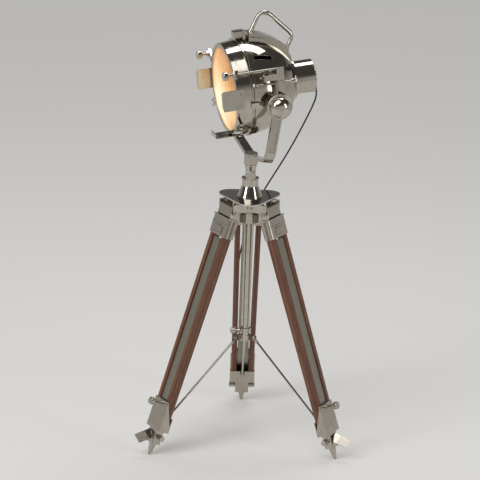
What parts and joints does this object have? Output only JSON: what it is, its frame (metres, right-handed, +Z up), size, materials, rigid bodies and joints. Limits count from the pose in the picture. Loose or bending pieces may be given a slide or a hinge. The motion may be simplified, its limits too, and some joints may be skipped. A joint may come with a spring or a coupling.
{
  "type": "studio searchlight on a wooden tripod",
  "caption": "Polished nickel searchlight in a tilting yoke on a wooden survey tripod with telescoping legs, a spreader, clamp knobs and a black mains cord.",
  "frame": {"origin": "on the floor, under the middle of the space taken by the lamp and its tripod", "axes": "+Z up, +Y toward the back leg, +X to the right of the left foot as seen from the front"},
  "size_m": [0.7966, 0.6832, 1.6322],
  "materials": {
    "nickel": "polished nickel plate",
    "mirror_plate": "mirror polished plate",
    "satin_nickel": "satin nickel, lengthwise grain",
    "mahogany": "dark reddish stain, satin varnish",
    "steel_dark": "machined steel",
    "reflector": "spun polished aluminium",
    "lens_glass": "frosted, lit from behind",
    "bulb_glass": "frosted bulb, lit",
    "black_rubber": "matt black",
    "black_plastic": "black, slightly glossy",
    "fibre_washer": "dark fibre"
  },
  "bodies": {
    "tripod_head": {"head_plate": "mirror_plate", "leg_spider": "nickel", "spider_fixings": "steel_dark", "centre_post": "nickel", "column": "nickel"},
    "brace_hub": {"brace_hub": "nickel"},
    "hub_lock_knob": {"hub_lock_knob": "nickel"},
    "pan_lock_knob": {"pan_lock_knob": "nickel"},
    "yoke": {"yoke": "nickel"},
    "lamp_head": {"drum_body": "nickel", "bezel": "nickel", "door_gasket": "black_rubber", "lens": "lens_glass", "lens_ring": "steel_dark", "reflector": "reflector", "bulb": "bulb_glass", "lamp_holder": "black_plastic", "lamp_carrier": "steel_dark", "rear_housing": "nickel", "rear_cap": "nickel", "head_screws": "nickel", "cord_gland": "black_plastic", "vent_hood": "nickel", "carry_handle": "nickel", "drum_hardware": "nickel", "friction_washers": "fibre_washer", "filter_holders": "nickel", "switch_base": "black_plastic", "side_brackets": "nickel", "cord_free": "black_rubber"},
    "top_catch": {"top_catch": "nickel"},
    "switch_knob": {"switch_knob": "black_plastic"},
    "tilt_knob_near": {"tilt_knob_near": "nickel"},
    "tilt_knob_far": {"tilt_knob_far": "nickel"},
    "clamp_rod_near": {"clamp_rod_near": "nickel"},
    "clamp_rod_far": {"clamp_rod_far": "nickel"},
    "leg_left": {"leg_castings_left": "nickel", "leg_stiles_left": "mahogany"},
    "lower_leg_left": {"leg_bar_left": "satin_nickel", "foot_shoe_left": "nickel"},
    "leg_lock_knob_left": {"leg_lock_knob_left": "nickel"},
    "foot_bolt_left": {"foot_bolt_left": "nickel"},
    "brace_left": {"brace_left": "satin_nickel"},
    "leg_right": {"leg_castings_right": "nickel", "leg_stiles_right": "mahogany"},
    "lower_leg_right": {"leg_bar_right": "satin_nickel", "foot_shoe_right": "nickel"},
    "leg_lock_knob_right": {"leg_lock_knob_right": "nickel"},
    "foot_bolt_right": {"foot_bolt_right": "nickel"},
    "brace_right": {"brace_right": "satin_nickel"},
    "leg_back": {"leg_castings_back": "nickel", "leg_stiles_back": "mahogany", "cord_run": "black_rubber", "cord_coil": "black_rubber", "cord_plug": "black_plastic"},
    "lower_leg_back": {"leg_bar_back": "satin_nickel", "foot_shoe_back": "nickel"},
    "leg_lock_knob_back": {"leg_lock_knob_back": "nickel"},
    "foot_bolt_back": {"foot_bolt_back": "nickel"},
    "brace_back": {"brace_back": "satin_nickel"}
  },
  "joints": [
    {"name": "leg_fold_left", "type": "hinge", "parent": "tripod_head", "child": "leg_left", "pos_m": [-0.07361, -0.14561, 0.9], "axis": [0.5, -0.866, 0], "range_deg": [0, 12]},
    {"name": "leg_extension_left", "type": "slide", "parent": "leg_left", "child": "lower_leg_left", "axis": [-0.2833, -0.1635, -0.945], "range_m": [0, 0.28]},
    {"name": "leg_lock_knob_turn_left", "type": "hinge", "parent": "leg_left", "child": "leg_lock_knob_left", "pos_m": [-0.33572, -0.29694, 0.20899], "axis": [-0.8184, -0.4725, 0.3271], "continuous": true},
    {"name": "foot_bolt_turn_left", "type": "hinge", "parent": "lower_leg_left", "child": "foot_bolt_left", "pos_m": [-0.32011, -0.28793, 0.07153], "axis": [-0.5, 0.866, 0], "continuous": true},
    {"name": "brace_swing_left", "type": "hinge", "parent": "leg_left", "child": "brace_left", "pos_m": [-0.279, -0.2642, 0.12917], "axis": [0.5, -0.866, 0], "range_deg": [0, 17.3]},
    {"name": "leg_fold_right", "type": "hinge", "parent": "tripod_head", "child": "leg_right", "pos_m": [0.07361, -0.14561, 0.9], "axis": [0.5, 0.866, 0], "range_deg": [0, 12]},
    {"name": "leg_extension_right", "type": "slide", "parent": "leg_right", "child": "lower_leg_right", "axis": [0.2833, -0.1635, -0.945], "range_m": [0, 0.28]},
    {"name": "leg_lock_knob_turn_right", "type": "hinge", "parent": "leg_right", "child": "leg_lock_knob_right", "pos_m": [0.33572, -0.29694, 0.20899], "axis": [0.8184, -0.4725, 0.3271], "continuous": true},
    {"name": "foot_bolt_turn_right", "type": "hinge", "parent": "lower_leg_right", "child": "foot_bolt_right", "pos_m": [0.32011, -0.28793, 0.07153], "axis": [-0.5, -0.866, 0], "continuous": true},
    {"name": "brace_swing_right", "type": "hinge", "parent": "leg_right", "child": "brace_right", "pos_m": [0.279, -0.2642, 0.12917], "axis": [0.5, 0.866, 0], "range_deg": [0, 17.3]},
    {"name": "leg_fold_back", "type": "hinge", "parent": "tripod_head", "child": "leg_back", "pos_m": [0, -0.01811, 0.9], "axis": [-1, 0, 0], "range_deg": [0, 12]},
    {"name": "leg_extension_back", "type": "slide", "parent": "leg_back", "child": "lower_leg_back", "axis": [0, 0.3271, -0.945], "range_m": [0, 0.28]},
    {"name": "leg_lock_knob_turn_back", "type": "hinge", "parent": "leg_back", "child": "leg_lock_knob_back", "pos_m": [0, 0.28455, 0.20899], "axis": [0, 0.945, 0.3271], "continuous": true},
    {"name": "foot_bolt_turn_back", "type": "hinge", "parent": "lower_leg_back", "child": "foot_bolt_back", "pos_m": [0, 0.26651, 0.07153], "axis": [1, 0, 0], "continuous": true},
    {"name": "brace_swing_back", "type": "hinge", "parent": "leg_back", "child": "brace_back", "pos_m": [0, 0.21905, 0.12917], "axis": [-1, 0, 0], "range_deg": [0, 17.3]},
    {"name": "hub_slide", "type": "slide", "parent": "tripod_head", "child": "brace_hub", "axis": [0, 0, 1], "range_m": [0, 0.0775]},
    {"name": "hub_lock_knob_turn", "type": "hinge", "parent": "brace_hub", "child": "hub_lock_knob", "pos_m": [-0.04, -0.10311, 0.4233], "axis": [-1, 0, 0], "continuous": true},
    {"name": "pan_lock_knob_turn", "type": "hinge", "parent": "tripod_head", "child": "pan_lock_knob", "pos_m": [0, -0.14311, 1.034], "axis": [0, -1, 0], "continuous": true},
    {"name": "head_pan", "type": "hinge", "parent": "tripod_head", "child": "yoke", "pos_m": [0, -0.10311, 1.063], "axis": [0, 0, 1], "range_deg": [-170, 170], "deforming": ["cord_free"]},
    {"name": "head_tilt", "type": "hinge", "parent": "yoke", "child": "lamp_head", "pos_m": [0.03263, -0.09357, 1.329], "axis": [0.2807, -0.9598, 0], "range_deg": [-40, 25]},
    {"name": "tilt_knob_turn_near", "type": "hinge", "parent": "lamp_head", "child": "tilt_knob_near", "pos_m": [0.09298, -0.29993, 1.329], "axis": [0.2807, -0.9598, 0], "continuous": true},
    {"name": "clamp_rod_turn_near", "type": "hinge", "parent": "lamp_head", "child": "clamp_rod_near", "pos_m": [-0.06746, -0.29892, 1.44132], "axis": [-0.9536, -0.2789, -0.1132], "continuous": true},
    {"name": "tilt_knob_turn_far", "type": "hinge", "parent": "lamp_head", "child": "tilt_knob_far", "pos_m": [-0.02771, 0.11279, 1.329], "axis": [-0.2807, 0.9598, 0], "continuous": true},
    {"name": "clamp_rod_turn_far", "type": "hinge", "parent": "lamp_head", "child": "clamp_rod_far", "pos_m": [-0.16232, 0.0255, 1.44132], "axis": [-0.9536, -0.2789, -0.1132], "continuous": true},
    {"name": "top_catch_swing", "type": "hinge", "parent": "lamp_head", "child": "top_catch", "pos_m": [-0.04704, -0.11687, 1.55405], "axis": [-0.2807, 0.9598, 0], "range_deg": [0, 75]},
    {"name": "switch_turn", "type": "hinge", "parent": "lamp_head", "child": "switch_knob", "pos_m": [0.12549, -0.1629, 1.44189], "axis": [0.8075, -0.3402, 0.4819], "range_deg": [0, 90]}
  ],
  "couplings": [
    {"joint": "brace_swing_left", "follows": "leg_fold_left", "ratio": 1.4344},
    {"joint": "leg_fold_right", "follows": "leg_fold_left", "ratio": 1},
    {"joint": "brace_swing_right", "follows": "leg_fold_left", "ratio": 1.4344},
    {"joint": "leg_fold_back", "follows": "leg_fold_left", "ratio": 1},
    {"joint": "brace_swing_back", "follows": "leg_fold_left", "ratio": 1.4344},
    {"joint": "hub_slide", "follows": "leg_fold_left", "m_per_rad": 0.36818}
  ]
}
